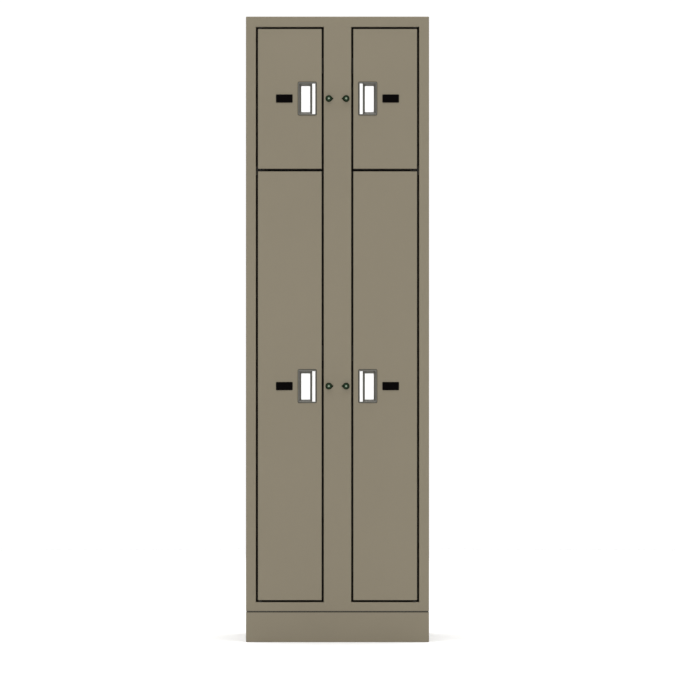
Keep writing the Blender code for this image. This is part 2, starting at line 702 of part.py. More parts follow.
def make_bezel(name, side, middle, finish):
    """The flanged bush of a lock, with an index lug that points to the middle of the mullion."""
    flange_r = BARREL_R + BEZEL_LEDGE
    profile = [
        (BORE_R, -BEZEL_H), (flange_r - BEZEL_CHAMFER, -BEZEL_H), (flange_r, BEZEL_CHAMFER - BEZEL_H),
        (flange_r, -SEAT), (BARREL_R, -SEAT), (BARREL_R, BARREL_L), (BORE_R, BARREL_L),
    ]
    bezel = place(f"{name}_lock_bezel", turned(profile, "y", ROUND_SIDES), finish["bezel"],
                  (LOCK_X, FRONT, middle), side)
    tip = (LUG_TIP_R - flange_r - LUG_REACH, 0)
    root = arc((0, 0), (BARREL_R + flange_r) / 2, 210, 150)
    outline = [root[0], *arc(tip, LUG_TIP_R, 260, 100), root[-1]]
    lug = prism(outline, BEZEL_CHAMFER - BEZEL_H, -SEAT)
    join(bezel, moved(lug, (LOCK_X, FRONT, middle), side))
    smooth(bezel)


def make_lock_case(name, side, middle, finish):
    """The housing behind the mullion's face: a bore for the button, crossed by a channel for the bolt."""
    start = FRAME_T + SEAT
    bore_end = BOLT_BACK + RUNNING_GAP + BUTTON_FOOT_L + BUTTON_TRAVEL + RUNNING_GAP
    inner = BARREL_SEAT_R + CASE_WALL
    outer = LOCK_FROM_EDGE - FRAME_T - SEAT - SHEET_T - SEAT
    outline = rounded_rectangle(-inner, outer, -inner, inner, CASE_CORNER_R)
    mesh = prism(outline, start, bore_end + CASE_BACK_WALL)
    case = place(f"{name}_lock_case", mesh, finish["zinc"], (LOCK_X, FRONT, middle), side)
    bore = turned(
        [(0, start - OVERRUN), (BARREL_SEAT_R, start - OVERRUN), (BARREL_SEAT_R, BARREL_L + SEAT),
         (BORE_R, BARREL_L + SEAT), (BORE_R, bore_end), (0, bore_end)],
        "y", ROUND_SIDES,
    )
    half = BOLT_H / 2 + RUNNING_GAP
    channel = box((0, BOLT_FRONT - RUNNING_GAP, -half), (outer + OVERRUN, BOLT_BACK + RUNNING_GAP, half))
    for shape in (bore, channel):
        cut(case, moved(shape, (LOCK_X, FRONT, middle), side))
    smooth(case)


def make_lock_button(name, side, middle, finish, slide):
    """The plunger. Pushed in, the 45 degree ramp of its side notch drives the bolt across."""
    plug_end = RAMP_SUM - BUTTON_R - PLUG_END_WALL + RUNNING_GAP
    notch_back = BOLT_BACK + RUNNING_GAP
    foot = notch_back + BUTTON_FOOT_L
    bore_r = PLUG_R + RUNNING_GAP
    profile = [
        (0, plug_end), (bore_r, plug_end), (bore_r, -BUTTON_PROUD),
        (BUTTON_R - BUTTON_CHAMFER, -BUTTON_PROUD), (BUTTON_R, BUTTON_CHAMFER - BUTTON_PROUD),
        (BUTTON_R, foot), (0, foot),
    ]
    button = place(f"{name}_lock_button", turned(profile, "y", ROUND_SIDES), finish["green"],
                   (LOCK_X, FRONT, middle), side, slide)
    ramp = RAMP_SUM - RUNNING_GAP
    reach = BUTTON_R + OVERRUN
    outline = [(ramp - notch_back, notch_back), (reach, notch_back), (reach, ramp - reach)]
    cut(button, moved(prism(outline, -reach, reach, "z"), (LOCK_X, FRONT, middle), side))
    smooth(button)


def make_key_plug(name, side, middle, finish, slide):
    end = RAMP_SUM - BUTTON_R - PLUG_END_WALL
    profile = [(0, -BUTTON_PROUD), (PLUG_R, -BUTTON_PROUD), (PLUG_R, end), (0, end)]
    plug = place(f"{name}_key_plug", turned(profile, "y", ROUND_SIDES), finish["nickel"],
                 (LOCK_X, FRONT, middle), side, slide)
    low = (-KEYWAY_W / 2, -BUTTON_PROUD - OVERRUN, -KEYWAY_H / 2)
    high = (KEYWAY_W / 2, KEYWAY_D - BUTTON_PROUD, KEYWAY_H / 2)
    cut(plug, moved(box(low, high), (LOCK_X, FRONT, middle), side))
    smooth(plug)


def make_lock_bolt(name, side, middle, finish, slide):
    """The bolt in plan: a 45 degree nose in the button's notch, and a chamfered tip just inside the jamb."""
    tip = LOCK_FROM_EDGE - BOLT_TIP_RECESS
    outline = [
        (RAMP_SUM - BOLT_FRONT, BOLT_FRONT), (tip - BOLT_CHAMFER, BOLT_FRONT),
        (tip, BOLT_FRONT + BOLT_CHAMFER), (tip, BOLT_BACK - BOLT_CHAMFER),
        (tip - BOLT_CHAMFER, BOLT_BACK), (RAMP_SUM - BOLT_BACK, BOLT_BACK),
    ]
    mesh = prism(outline, -BOLT_H / 2, BOLT_H / 2, "z")
    place(f"{name}_lock_bolt", mesh, finish["steel"], (LOCK_X, FRONT, middle), side, slide)


def make_locks(finish):
    for name, side, _, _, middle in bays():
        origin = (LOCK_X, FRONT, middle)
        push = joint_empty(f"{name}_button_push", origin, side)
        throw = joint_empty(f"{name}_bolt_throw", origin, side)
        make_bezel(name, side, middle, finish)
        make_lock_case(name, side, middle, finish)
        make_lock_button(name, side, middle, finish, push)
        make_key_plug(name, side, middle, finish, push)
        make_lock_bolt(name, side, middle, finish, throw)


def make_catches(finish):
    """A magnet with two steel poles for each door, on the face of the door stop."""
    half_w, half_h = MAGNET_W / 2, MAGNET_H / 2
    pole_front = DOOR_T + SEAT
    front, back = pole_front + POLE_PROUD, pole_front + MAGNET_D
    pole_half_h = half_h - POLE_MARGIN
    for name, side, _, _, middle in bays():
        centre = (MULLION_EDGE + STOP_LIP_W - half_w, FRONT, middle + MAGNET_ABOVE_LOCK)
        mesh = box((-half_w, front, -half_h), (half_w, back, half_h))
        catch = place(f"{name}_magnetic_catch", mesh, finish["magnet"], centre, side)
        poles = []
        for pole_x in (POLE_T - half_w, half_w - POLE_T):
            low = (pole_x - POLE_T / 2, pole_front, -pole_half_h)
            high = (pole_x + POLE_T / 2, (front + back) / 2, pole_half_h)
            poles.append(moved(box(low, high), centre, side))
        join(catch, *poles)


def main():
    clear_scene()
    finish = make_materials()
    make_face_frame(finish)
    make_cabinet(finish)
    make_plinth(finish)
    make_pivots(finish)
    make_doors(finish)
    make_locks(finish)
    make_catches(finish)


main()
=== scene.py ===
"""The looks of the evidence storage locker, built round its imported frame.

Lengths are in metres, in the frame's own axes: X to the right, Y to the back and Z up.
"""

import json
import math

import bmesh
import bpy
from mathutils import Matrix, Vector


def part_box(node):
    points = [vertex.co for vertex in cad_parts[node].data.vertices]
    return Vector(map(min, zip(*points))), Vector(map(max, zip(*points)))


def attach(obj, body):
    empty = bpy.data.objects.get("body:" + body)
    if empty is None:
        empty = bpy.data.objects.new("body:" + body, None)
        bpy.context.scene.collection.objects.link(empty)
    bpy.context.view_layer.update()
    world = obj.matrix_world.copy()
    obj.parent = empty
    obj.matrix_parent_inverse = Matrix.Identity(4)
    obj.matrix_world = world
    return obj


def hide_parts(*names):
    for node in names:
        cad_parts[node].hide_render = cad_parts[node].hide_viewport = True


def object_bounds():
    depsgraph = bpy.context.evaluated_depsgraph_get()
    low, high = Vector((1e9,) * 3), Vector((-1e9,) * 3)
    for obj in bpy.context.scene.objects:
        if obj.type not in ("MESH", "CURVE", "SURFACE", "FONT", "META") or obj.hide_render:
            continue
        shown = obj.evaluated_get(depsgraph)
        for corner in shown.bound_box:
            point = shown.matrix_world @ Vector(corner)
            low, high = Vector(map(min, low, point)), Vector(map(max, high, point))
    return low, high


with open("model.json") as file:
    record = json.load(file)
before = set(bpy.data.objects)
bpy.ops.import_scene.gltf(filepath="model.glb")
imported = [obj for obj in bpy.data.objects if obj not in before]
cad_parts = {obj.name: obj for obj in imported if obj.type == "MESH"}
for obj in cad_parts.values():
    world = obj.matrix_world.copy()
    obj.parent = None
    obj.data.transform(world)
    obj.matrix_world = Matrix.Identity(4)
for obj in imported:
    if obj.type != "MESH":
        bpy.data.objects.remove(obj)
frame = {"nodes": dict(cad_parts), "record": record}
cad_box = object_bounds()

SIDES = (("left", -1), ("right", 1))
BAYS = [(f"{level}_{name}", side) for level in ("upper", "lower") for name, side in SIDES]

# Camera: level, in line with the drawing, far enough away to look nearly parallel
LENS = 300
SENSOR = 36
METRES_PER_PIXEL = 2.0828 / 625.7
IMAGE_SIDE = 675
CENTRE_ROW = 329.35
CLIP_END = 200

# Stage
FLOOR_R = 8.0
FLOOR_SIDES = 96
FLOOR_TONES = ((0.93, 0.93, 0.93), (0.95, 0.95, 0.95))
FRONT_BOX_SIDE = 16.0
FRONT_BOX_Y = -12.0
FRONT_BOX_Z = 0.6
FRONT_BOX_POWER = 830
TOP_BOX_SIDE = 12.0
TOP_BOX_Z = 8.0
TOP_BOX_POWER = 1350
BACK_BOX_Z = 1.0
BACK_BOX_POWER = 560
WORLD_LIGHT = 0.30
WORLD_SEEN = 1.02

# Spot welds on the flanges round the back
WELD_ROW = 0.009
WELD_PITCH = 0.1
WELD_SPOT_R = 0.0026
WELD_SOFT = 0.0009

# Edges of the carried-over nodes, and of the lips
WELD = 0.00001
EDGE_R = 0.0003
EDGE_SEGMENTS = 2
EDGE_ANGLE = 32
FACE_WEIGHT = 50

# Facets and roundings of the pieces made here
SMOOTH_ANGLE = 35
CORNER_STEPS = 8
FOLD_STEPS = 6
BEAD_ROUND_STEPS = 4
ROUNDED_STEPS = 3
ROUNDED_SHARE = 0.45
STRAIGHT = 0.1

# Face frame, and how far its parts lie behind its front
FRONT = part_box("mullion")[0].y
HEIGHT = cad_box[1].z
BACK = cad_box[1].y
HALF_W = cad_box[1].x
STILE_EDGE = 0.2714625
MULLION_EDGE = 0.0460375
OPENING_BOTTOM = 0.13335
OPENING_TOP = 2.047875
MEETING_Z = 1.571625
BASE_TOP = 0.1016
BEND_R = 0.0028
RETURN_D = 0.020
STOP_D = 0.02395
SHELF_D = 0.02625
DOOR_T = 0.01905
SEAT = 0.0003

# Seams, sealant and sealer in the joints
SEAM_W = 0.00088
SEAM_D = 0.0010
SEAM_SINK = 0.00002
SEAM_EDGE_R = 0.0001
BEAD_SINK = 0.00005
BEAD_HOLLOW = 0.0002
BEAD_D = 0.0020
BEAD_STEPS = 4
SEALER_W = 0.006
SEALER_T = 0.0008
SEALER_R = 0.0004

# Rubber edging in the rounded shoulder of the doors' edges, its black a painted shade that widens the
# door gaps: (in from the side, behind the front)
EDGING = (
    (0.0001, 0.0014), (0.0001, 0.00035), (0.00035, 0.0001), (0.0020, 0.0001),
    (0.0022, 0.00014), (0.0022, 0.00019), (0.00078, 0.00078), (0.000525, 0.0014),
)

# Rubber seals on the door stops, their black a painted shade behind the door gaps
SEAL_W = 0.009
SEAL_TO_DOOR = 0.0005
SEAL_CLEAR = 0.0003
SEAL_END_X = 0.2440
SEAL_ROUND = 0.0016
TAPE_T = 0.0008
MEETING_SEAL_H = 0.012
STOP_LIP_W = 0.014
HINGE_SEAL_T = 0.0041
HINGE_SEAL_D = 0.006
BRACKET_HALF_H = 0.0155
CATCH_CLEAR = 0.002

# Screws of the magnetic catches
CATCH_FACE_D = 0.0006
SCREW_INSET = 0.0020
SCREW_R = 0.0016
SCREW_FLAT_SHARE = 0.6
SCREW_PROUD = 0.0005
SCREW_EDGE_R = 0.0003
SCREW_SIDES = 24

# Pull
PULL_T = 0.0015
PULL_RIM_W = 0.0024
PULL_CORNER_R = 0.0035
PULL_FILLET = 0.0010
PULL_BEVEL_W = 0.0066
PULL_TAPER_W = 0.002
PULL_END_SHARE = 0.85
PULL_DROP = 0.0013
PULL_PROUD = 0.0008
# PULL_SHADE_W is how far from the latch edge the dish's floor is painted dark as the lip's shadow
PULL_SHADE_W = 0.0207
LIP_INSET = 0.0034
LIP_W = 0.0098
LIP_OVERLAP = 0.0009
LIP_TOP_GAP = 0.0023
LIP_ROLL_R = 0.003
LIP_HEM_D = 0.0018
LIP_EDGE_R = 0.0006
LIP_END_R = 0.0003
LIP_SEAT_D = 0.0004
LIP_OUTER_STEPS = 10
LIP_INNER_STEPS = 8
LIP_HEM_STEPS = 6

# The pull's roundings, in order from the dish's floor out: (share of the fillet across, corner radius,
# share of the fillet in depth), and for the rim's edge (in from the side, off the corner radius, behind
# the front)
FLOOR_FILLET = ((1.0, 0.0020, 0.0), (0.35, 0.0024, 0.12), (-0.2, 0.0028, 0.7))
WALL_FILLET = ((0.35, 0.0032, 1.0), (0.1, 0.0034, 0.45))
MOUTH_FILLET = ((0.35, 0.0036, 0.12), (0.9, 0.0038, 0.0))
RIM_EDGE = ((0.0004, 0.0003, 0.0), (0.0001, 0.0001, 0.0002), (0.0, 0.0, 0.0005))
DISH_BACK_R = 0.003

# Rubber beads round the pulls and the number plates, their black partly a painted shadow line round the
# rims
TRIM_W = 0.0014
PLATE_TRIM_W = 0.0011
PLATE_CORNER_R = 0.0015
TRIM_T = 0.0011
TRIM_CLEAR = 0.00005
TRIM_FLAT_SHARE = 0.5
TRIM_SHOULDER = (0.85, 0.3)

# Lock
LOCK_SIDES = 64
BORE_R = 0.0077
BARREL_R = 0.0095
BEZEL_R = 0.0112
BEZEL_H = 0.003
BEZEL_CHAMFER = 0.0009
LUG_TIP_R = 0.0018
LUG_REACH = 0.004
LUG_ROOT = (210, 150, 6)
LUG_ROUND = (260, 100, 10)
LOCK_CLEAR = 0.0003
BEZEL_EDGE_R = 0.0003
BUTTON_R = 0.0074
BUTTON_CHAMFER = 0.0008
BUTTON_EDGE_R = 0.00025
PLUG_R = 0.0044
PLUG_L = 0.0038
PLUG_END_CLEAR = 0.0002
PLUG_EDGE_R = 0.0002
PLUG_DISC_R = 0.0033
PLUG_STEP = 0.0006
KEYWAY_W = 0.0013
KEYWAY_H = 0.0062
KEYWAY_D = 0.0034
KEYWAY_OVERRUN = 0.001

# The keyway with its wards, in half widths and half heights
KEYWAY = (
    (-1, -1), (1, -1), (1, -0.25), (1.9, -0.1), (1.9, 0.2), (1, 0.35), (1, 1), (-1, 1),
    (-1, 0.1), (-0.2, 0), (-0.2, -0.3), (-1, -0.4),
)


def link(obj):
    bpy.context.scene.collection.objects.link(obj)
    return obj


# Materials


class Look:
    """A node material that starts from a Principled shader and the object's own coordinates."""

    def __init__(self, name, colour, roughness, metallic=0.0, **constants):
        self.material = bpy.data.materials.new(name)
        self.material.use_nodes = True
        self.tree = self.material.node_tree
        self.shader = self.tree.nodes["Principled BSDF"]
        self.normal = None
        self.shader.inputs["Base Color"].default_value = (*colour, 1)
        self.shader.inputs["Roughness"].default_value = roughness
        self.shader.inputs["Metallic"].default_value = metallic
        for key, value in constants.items():
            self.shader.inputs[key.replace("_", " ")].default_value = value
        self.coordinates = self.tree.nodes.new("ShaderNodeTexCoord").outputs["Object"]

    def node(self, kind, **inputs):
        made = self.tree.nodes.new(kind)
        for key, value in inputs.items():
            made.inputs[key].default_value = value
        return made

    def join(self, output, target):
        self.tree.links.new(output, target)

    def noise(self, scale, detail=2.0, roughness=0.5, stretch=(1, 1, 1)):
        mapping = self.node("ShaderNodeMapping", Scale=stretch)
        self.join(self.coordinates, mapping.inputs["Vector"])
        noise = self.node("ShaderNodeTexNoise", Scale=scale, Detail=detail, Roughness=roughness)
        self.join(mapping.outputs["Vector"], noise.inputs["Vector"])
        return noise.outputs["Fac"]

    def spread(self, value, low, high, start=0.3, end=0.7):
        made = self.node("ShaderNodeMapRange")
        made.inputs["From Min"].default_value = start
        made.inputs["From Max"].default_value = end
        made.inputs["To Min"].default_value = low
        made.inputs["To Max"].default_value = high
        self.join(value, made.inputs["Value"])
        return made.outputs["Result"]

    def mix(self, share, first, second):
        made = self.node("ShaderNodeMix")
        made.data_type = "RGBA"
        self.join(share, made.inputs["Factor"])
        for socket, value in ((made.inputs[6], first), (made.inputs[7], second)):
            if isinstance(value, tuple):
                socket.default_value = (*value, 1)
            else:
                self.join(value, socket)
        return made.outputs[2]

    def paint(self, colour):
        self.join(colour, self.shader.inputs["Base Color"])

    def dull(self, value):
        self.join(value, self.shader.inputs["Roughness"])

    def bump(self, height, strength, depth):
        """A bump on top of those made before it."""
        made = self.node("ShaderNodeBump", Strength=strength, Distance=depth)
        self.join(height, made.inputs["Height"])
        if self.normal is not None:
            self.join(self.normal, made.inputs["Normal"])
        self.normal = made.outputs["Normal"]
        self.join(self.normal, self.shader.inputs["Normal"])


def math_node(look, operation, first, second=0.0):
    made = look.node("ShaderNodeMath")
    made.operation = operation
    for socket, value in zip(made.inputs, (first, second)):
        if isinstance(value, (int, float)):
            socket.default_value = value
        else:
            look.join(value, socket)
    return made.outputs[0]


def spot_welds(look):
    """Shallow dimples in a row along each flange round the back, as a mask for their bump and their
    painted shade.
    """
    apart = look.node("ShaderNodeSeparateXYZ")
    look.join(look.coordinates, apart.inputs[0])
    x, y, z = apart.outputs

    def calc(operation, first, second=0.0):
        return math_node(look, operation, first, second)

    def off_row(value, row):
        return calc("ABSOLUTE", calc("SUBTRACT", value, row))

    def along(value):
        step = calc("FLOORED_MODULO", value, WELD_PITCH)
        return calc("ABSOLUTE", calc("SUBTRACT", step, WELD_PITCH / 2))

    def reach(across, lengthwise):
        squares = calc("ADD", calc("POWER", across, 2), calc("POWER", lengthwise, 2))
        return calc("SQRT", squares)

    upright = reach(off_row(calc("ABSOLUTE", x), HALF_W - WELD_ROW), along(z))
    level = reach(off_row(z, HEIGHT - WELD_ROW), along(calc("ADD", x, WELD_PITCH / 2)))
    nearest = calc("MINIMUM", upright, level)
    ahead = calc("LESS_THAN", y, BACK - SEAT)
    reached = calc("ADD", nearest, ahead)
    return look.spread(reached, low=0, high=1, start=WELD_SPOT_R - WELD_SOFT, end=WELD_SPOT_R)


def scaled(colour, factor):
    return tuple(min(1.0, part * factor) for part in colour)


def powder_coat():
    base = (0.199, 0.1725, 0.121)
    look = Look("taupe_powder_coat", base, roughness=0.5, Specular_IOR_Level=0.3)
    clouds = look.spread(look.noise(scale=1.7, detail=3), low=0, high=1)
    drift = look.mix(clouds, scaled(base, factor=0.975), scaled(base, factor=1.025))
    speck = look.spread(look.noise(scale=900, detail=1), low=0, high=0.35, start=0.55, end=0.75)
    away_from_welds = spot_welds(look)
    field = look.mix(speck, drift, scaled(base, factor=1.12))
    # The dimples are painted 10% darker: painted shade in the spot welds.
    look.paint(look.mix(away_from_welds, scaled(base, factor=0.9), field))
    look.dull(look.spread(look.noise(scale=240), low=0.44, high=0.56))
    look.bump(look.noise(scale=420), strength=0.35, depth=0.00012)
    look.bump(look.noise(scale=95, detail=1), strength=0.25, depth=0.0002)
    look.bump(away_from_welds, strength=1.0, depth=0.0006)
    return look.material


def grained(look, base, grain, dark, light, shine, dullest, strength, depth):
    """Colours, dulls and bumps a look by one grain."""
    tone = look.spread(grain, low=0, high=1)
    look.paint(look.mix(tone, scaled(base, factor=dark), scaled(base, factor=light)))
    look.dull(look.spread(grain, low=shine, high=dullest))
    look.bump(grain, strength=strength, depth=depth)
    return look.material


def brushed_stainless():
    base = (0.86, 0.86, 0.855)
    look = Look("brushed_stainless", base, roughness=0.3, metallic=1.0)
    grain = look.noise(scale=60, detail=3, roughness=0.6, stretch=(60, 60, 1.2))
    return grained(
        look, base, grain, dark=0.94, light=1.04, shine=0.24, dullest=0.38, strength=0.25, depth=0.00003
    )


# A satin stainless whose dark grey is painted shade: it darkens the pull's rim and sloped walls, the
# lip's roll and the floor under the lip.
def shade_painted_stainless():
    base = (0.136, 0.131, 0.114)
    look = Look("shade_painted_stainless", base, roughness=0.5, metallic=0.4, Specular_IOR_Level=0.3)
    grain = look.noise(scale=1400)
    return grained(
        look, base, grain, dark=0.9, light=1.1, shine=0.5, dullest=0.62, strength=0.3, depth=0.00005
    )


def black_plate():
    base = (0.0009, 0.0006, 0.0006)
    look = Look("black_plate", base, roughness=0.5, Specular_IOR_Level=0.02)
    grain = look.noise(scale=1100)
    look.paint(look.mix(look.spread(grain, low=0, high=1), base, scaled(base, factor=1.8)))
    look.dull(look.spread(look.noise(scale=160), low=0.36, high=0.5))
    look.bump(grain, strength=0.2, depth=0.00004)
    return look.material


def black_oxide():
    base = (0.004, 0.010, 0.003)
    look = Look("black_oxide", base, roughness=0.4, Specular_IOR_Level=0.1)
    mottle = look.noise(scale=700, detail=3)
    return grained(
        look, base, mottle, dark=1.0, light=1.7, shine=0.34, dullest=0.5, strength=0.15, depth=0.00003
    )


def green_enamel():
    base = (0.006, 0.026, 0.005)
    look = Look("green_enamel", base, roughness=0.35, Specular_IOR_Level=0.2)
    mottle = look.noise(scale=500)
    tone = look.spread(mottle, low=0, high=1)
    look.paint(look.mix(tone, scaled(base, factor=0.85), scaled(base, factor=1.15)))
    look.dull(look.spread(mottle, low=0.3, high=0.42))
    look.bump(look.noise(scale=300, detail=1), strength=0.1, depth=0.00004)
    return look.material


def metal(name, base, roughness, scale, stretch=(1, 1, 1), depth=0.00003):
    look = Look(name, base, roughness, metallic=1.0)
    grain = look.noise(scale, detail=3, roughness=0.55, stretch=stretch)
    return grained(
        look, base, grain, dark=0.9, light=1.08, shine=roughness - 0.06, dullest=roughness + 0.08,
        strength=0.25, depth=depth,
    )


def moulded(name, base, roughness, scale, **constants):
    look = Look(name, base, roughness, **constants)
    return grained(
        look, base, look.noise(scale), dark=0.88, light=1.12, shine=roughness - 0.05,
        dullest=roughness + 0.08, strength=0.2, depth=0.00004,
    )


LOOKS = {
    "paint": powder_coat(),
    "pull_stainless": brushed_stainless(),
    "plate": black_plate(),
    "lock_bezel": black_oxide(),
    "lock_button": green_enamel(),
    "lock_nickel": metal("satin_nickel", (0.27, 0.33, 0.25), roughness=0.35, scale=500),
    "lock_zinc": metal("die_cast_zinc", (0.42, 0.43, 0.44), roughness=0.5, scale=350, depth=0.00008),
    "pivot_steel": metal(
        "phosphated_steel", (0.050, 0.048, 0.045), roughness=0.45, scale=260, stretch=(1, 1, 4)
    ),
    "magnet": moulded("dark_ferrite", (0.030, 0.030, 0.032), roughness=0.5, scale=800),
}
SHADE_PAINTED_STAINLESS = shade_painted_stainless()
SHADE_LINE_RUBBER = moulded(
    "black_shade_rubber", (0.0056, 0.0045, 0.0036), roughness=0.75, scale=900, Specular_IOR_Level=0.1
)
# Sealant whose dark is a painted shadow line in the groove at the base.
SHADOW_LINE_SEALANT = moulded("shadow_line_sealant", (0.018, 0.015, 0.010), roughness=0.7, scale=600)


# Shapes


def arc(centre, radius, start, end, steps):
    points = []
    for i in range(steps + 1):
        angle = math.radians(start + (end - start) * i / steps)
        points.append((centre[0] + radius * math.cos(angle), centre[1] + radius * math.sin(angle)))
    return points


def rounded_rectangle(left, right, bottom, top, radius):
    low_x, high_x, low_z, high_z = left + radius, right - radius, bottom + radius, top - radius
    return (
        arc((high_x, high_z), radius, 0, 90, CORNER_STEPS)
        + arc((low_x, high_z), radius, 90, 180, CORNER_STEPS)
        + arc((low_x, low_z), radius, 180, 270, CORNER_STEPS)
        + arc((high_x, low_z), radius, 270, 360, CORNER_STEPS)
    )


def rounded_front(front, back, low, high, radius):
    """A section (depth, across) that is flat behind and rounded in front."""
    return [
        (back, low), *arc((front + radius, low + radius), radius, 270, 180, BEAD_ROUND_STEPS),
        *arc((front + radius, high - radius), radius, 180, 90, BEAD_ROUND_STEPS), (back, high),
    ]


def lofted(stations, ring_shaped=False):
    """A body, capped or ring-shaped, through (outline, depth) stations, and its spans of faces."""
    mesh = bmesh.new()
    rings = [[mesh.verts.new((a, depth, b)) for a, b in outline] for outline, depth in stations]
    if ring_shaped:
        rings.append(rings[0])
    spans = []
    for ring, following in zip(rings, rings[1:]):
        span = []
        for i in range(len(ring)):
            j = (i + 1) % len(ring)
            span.append(mesh.faces.new((ring[i], ring[j], following[j], following[i])))
        spans.append(span)
    if not ring_shaped:
        mesh.faces.new(rings[0])
        mesh.faces.new(rings[-1])
    bmesh.ops.recalc_face_normals(mesh, faces=mesh.faces)
    return mesh, spans


def prism(outline, start, end, axis="y"):
    """A body with one outline in the two other directions, from start to end along an axis."""
    turn = {"x": (2, 0, 1), "y": (0, 2, 1), "z": (0, 1, 2)}[axis]
    mesh = bmesh.new()
    verts = [mesh.verts.new([(a, b, start)[i] for i in turn]) for a, b in outline]
    grown = bmesh.ops.extrude_face_region(mesh, geom=[mesh.faces.new(verts)])
    far = [part for part in grown["geom"] if isinstance(part, bmesh.types.BMVert)]
    bmesh.ops.translate(mesh, vec=[(0, 0, end - start)[i] for i in turn], verts=far)
    bmesh.ops.recalc_face_normals(mesh, faces=mesh.faces)
    return mesh


def turned(profile, sides=LOCK_SIDES):
    """A turned body about Y, from a profile of (radius, along) points."""
    mesh = bmesh.new()
    rings = []
    for radius, along in profile:
        count = sides if radius > 0 else 1
        angles = (2 * math.pi * i / sides for i in range(count))
        rings.append([
            mesh.verts.new((radius * math.cos(t), along, radius * math.sin(t))) for t in angles
        ])
    if profile[0][0] > 0:
        rings.append(rings[0])
    for ring, following in zip(rings, rings[1:]):
        for i in range(sides):
            j = (i + 1) % sides
            corners = (ring[i % len(ring)], ring[j % len(ring)],
                       following[j % len(following)], following[i % len(following)])
            mesh.faces.new(dict.fromkeys(corners))
    bmesh.ops.recalc_face_normals(mesh, faces=mesh.faces)
    return mesh


def rounded(profile, radius):
    """A profile with each of its corners off the axis rounded."""
    points = []
    count = len(profile)
    for i, point in enumerate(profile):
        here = Vector(point)
        before, after = Vector(profile[i - 1]), Vector(profile[(i + 1) % count])
        into, out = here - before, after - here
        reach = min(radius, into.length * ROUNDED_SHARE, out.length * ROUNDED_SHARE)
        turn = abs(into.normalized().cross(out.normalized()))
        if point[0] <= 0 or reach <= 0 or turn < STRAIGHT:
            points.append(tuple(here))
            continue
        start, end = here - into.normalized() * reach, here + out.normalized() * reach
        for k in range(ROUNDED_STEPS + 1):
            t = k / ROUNDED_STEPS
            points.append(tuple(start * (1 - t) ** 2 + here * 2 * t * (1 - t) + end * t * t))
    return points


def set_down(mesh, origin, side=1):
    """Mirrors a right-hand shape for the left when side is -1, and carries it to its place."""
    if side < 0:
        bmesh.ops.scale(mesh, vec=(side, 1, 1), verts=mesh.verts)
        bmesh.ops.reverse_faces(mesh, faces=mesh.faces)
    bmesh.ops.translate(mesh, vec=origin, verts=mesh.verts)
    return mesh


def merged(meshes):
    """One mesh of several that stand clear of each other."""
    whole = bmesh.new()
    for mesh in meshes:
        data = bpy.data.meshes.new("part")
        mesh.to_mesh(data)
        mesh.free()
        whole.from_mesh(data)
        bpy.data.meshes.remove(data)
    return whole


def boolean(obj, mesh, operation):
    data = bpy.data.meshes.new("tool")
    mesh.to_mesh(data)
    mesh.free()
    tool = link(bpy.data.objects.new("tool", data))
    modifier = obj.modifiers.new(operation.lower(), "BOOLEAN")
    modifier.operation, modifier.object, modifier.solver = operation, tool, "EXACT"
    result = bpy.data.meshes.new_from_object(
        obj.evaluated_get(bpy.context.evaluated_depsgraph_get())
    )
    obj.modifiers.clear()
    obj.data = result
    bpy.data.objects.remove(tool)


def piece(name, mesh, look, body="cabinet", stands_for=()):
    data = bpy.data.meshes.new(name)
    mesh.to_mesh(data)
    mesh.free()
    data.materials.append(look)
    obj = link(bpy.data.objects.new(name, data))
    if stands_for:
        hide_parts(*stands_for)
    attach(obj, body)
    smooth(obj)
    return obj


def smooth(obj):
    obj.data.shade_smooth()
    obj.data.set_sharp_from_angle(angle=math.radians(SMOOTH_ANGLE))


def soften(obj, width):
    """Rounds the edges of a piece and keeps its large faces flat to the eye."""
    modifier = obj.modifiers.new("edges", "BEVEL")
    modifier.width, modifier.segments = width, EDGE_SEGMENTS
    modifier.limit_method = "ANGLE"
    modifier.angle_limit = math.radians(EDGE_ANGLE)
    modifier.harden_normals = False
    even = obj.modifiers.new("normals", "WEIGHTED_NORMAL")
    even.keep_sharp, even.weight = False, FACE_WEIGHT


# Nodes carried over from the CAD


def weld_group():
    """Joins the facets of an imported node, so that its edges can be rounded and its faces smoothed."""
    group = bpy.data.node_groups.new("weld_facets", "GeometryNodeTree")
    for way in ("INPUT", "OUTPUT"):
        group.interface.new_socket("Geometry", in_out=way, socket_type="NodeSocketGeometry")
    start, end = group.nodes.new("NodeGroupInput"), group.nodes.new("NodeGroupOutput")
    bare = group.nodes.new("GeometryNodeRemoveAttribute")
    bare.inputs["Name"].default_value = "custom_normal"
    weld = group.nodes.new("GeometryNodeMergeByDistance")
    weld.inputs["Distance"].default_value = WELD
    shade = group.nodes.new("GeometryNodeSetShadeSmooth")
    last = start
    for node in (bare, weld, shade, end):
        group.links.new(last.outputs[0], node.inputs[0])
        last = node
    return group


def box_group():
    """Keeps the rounded edges of a node from standing out of the CAD's box."""
    group = bpy.data.node_groups.new("keep_in_box", "GeometryNodeTree")
    for way in ("INPUT", "OUTPUT"):
        group.interface.new_socket("Geometry", in_out=way, socket_type="NodeSocketGeometry")
    start, end = group.nodes.new("NodeGroupInput"), group.nodes.new("NodeGroupOutput")
    place = group.nodes.new("GeometryNodeSetPosition")
    value = group.nodes.new("GeometryNodeInputPosition").outputs[0]
    for operation, corner in (("MAXIMUM", cad_box[0]), ("MINIMUM", cad_box[1])):
        limit = group.nodes.new("ShaderNodeVectorMath")
        limit.operation = operation
        limit.inputs[1].default_value = corner
        group.links.new(value, limit.inputs[0])
        value = limit.outputs[0]
    group.links.new(value, place.inputs["Position"])
    group.links.new(start.outputs[0], place.inputs["Geometry"])
    group.links.new(place.outputs[0], end.inputs[0])
    return group


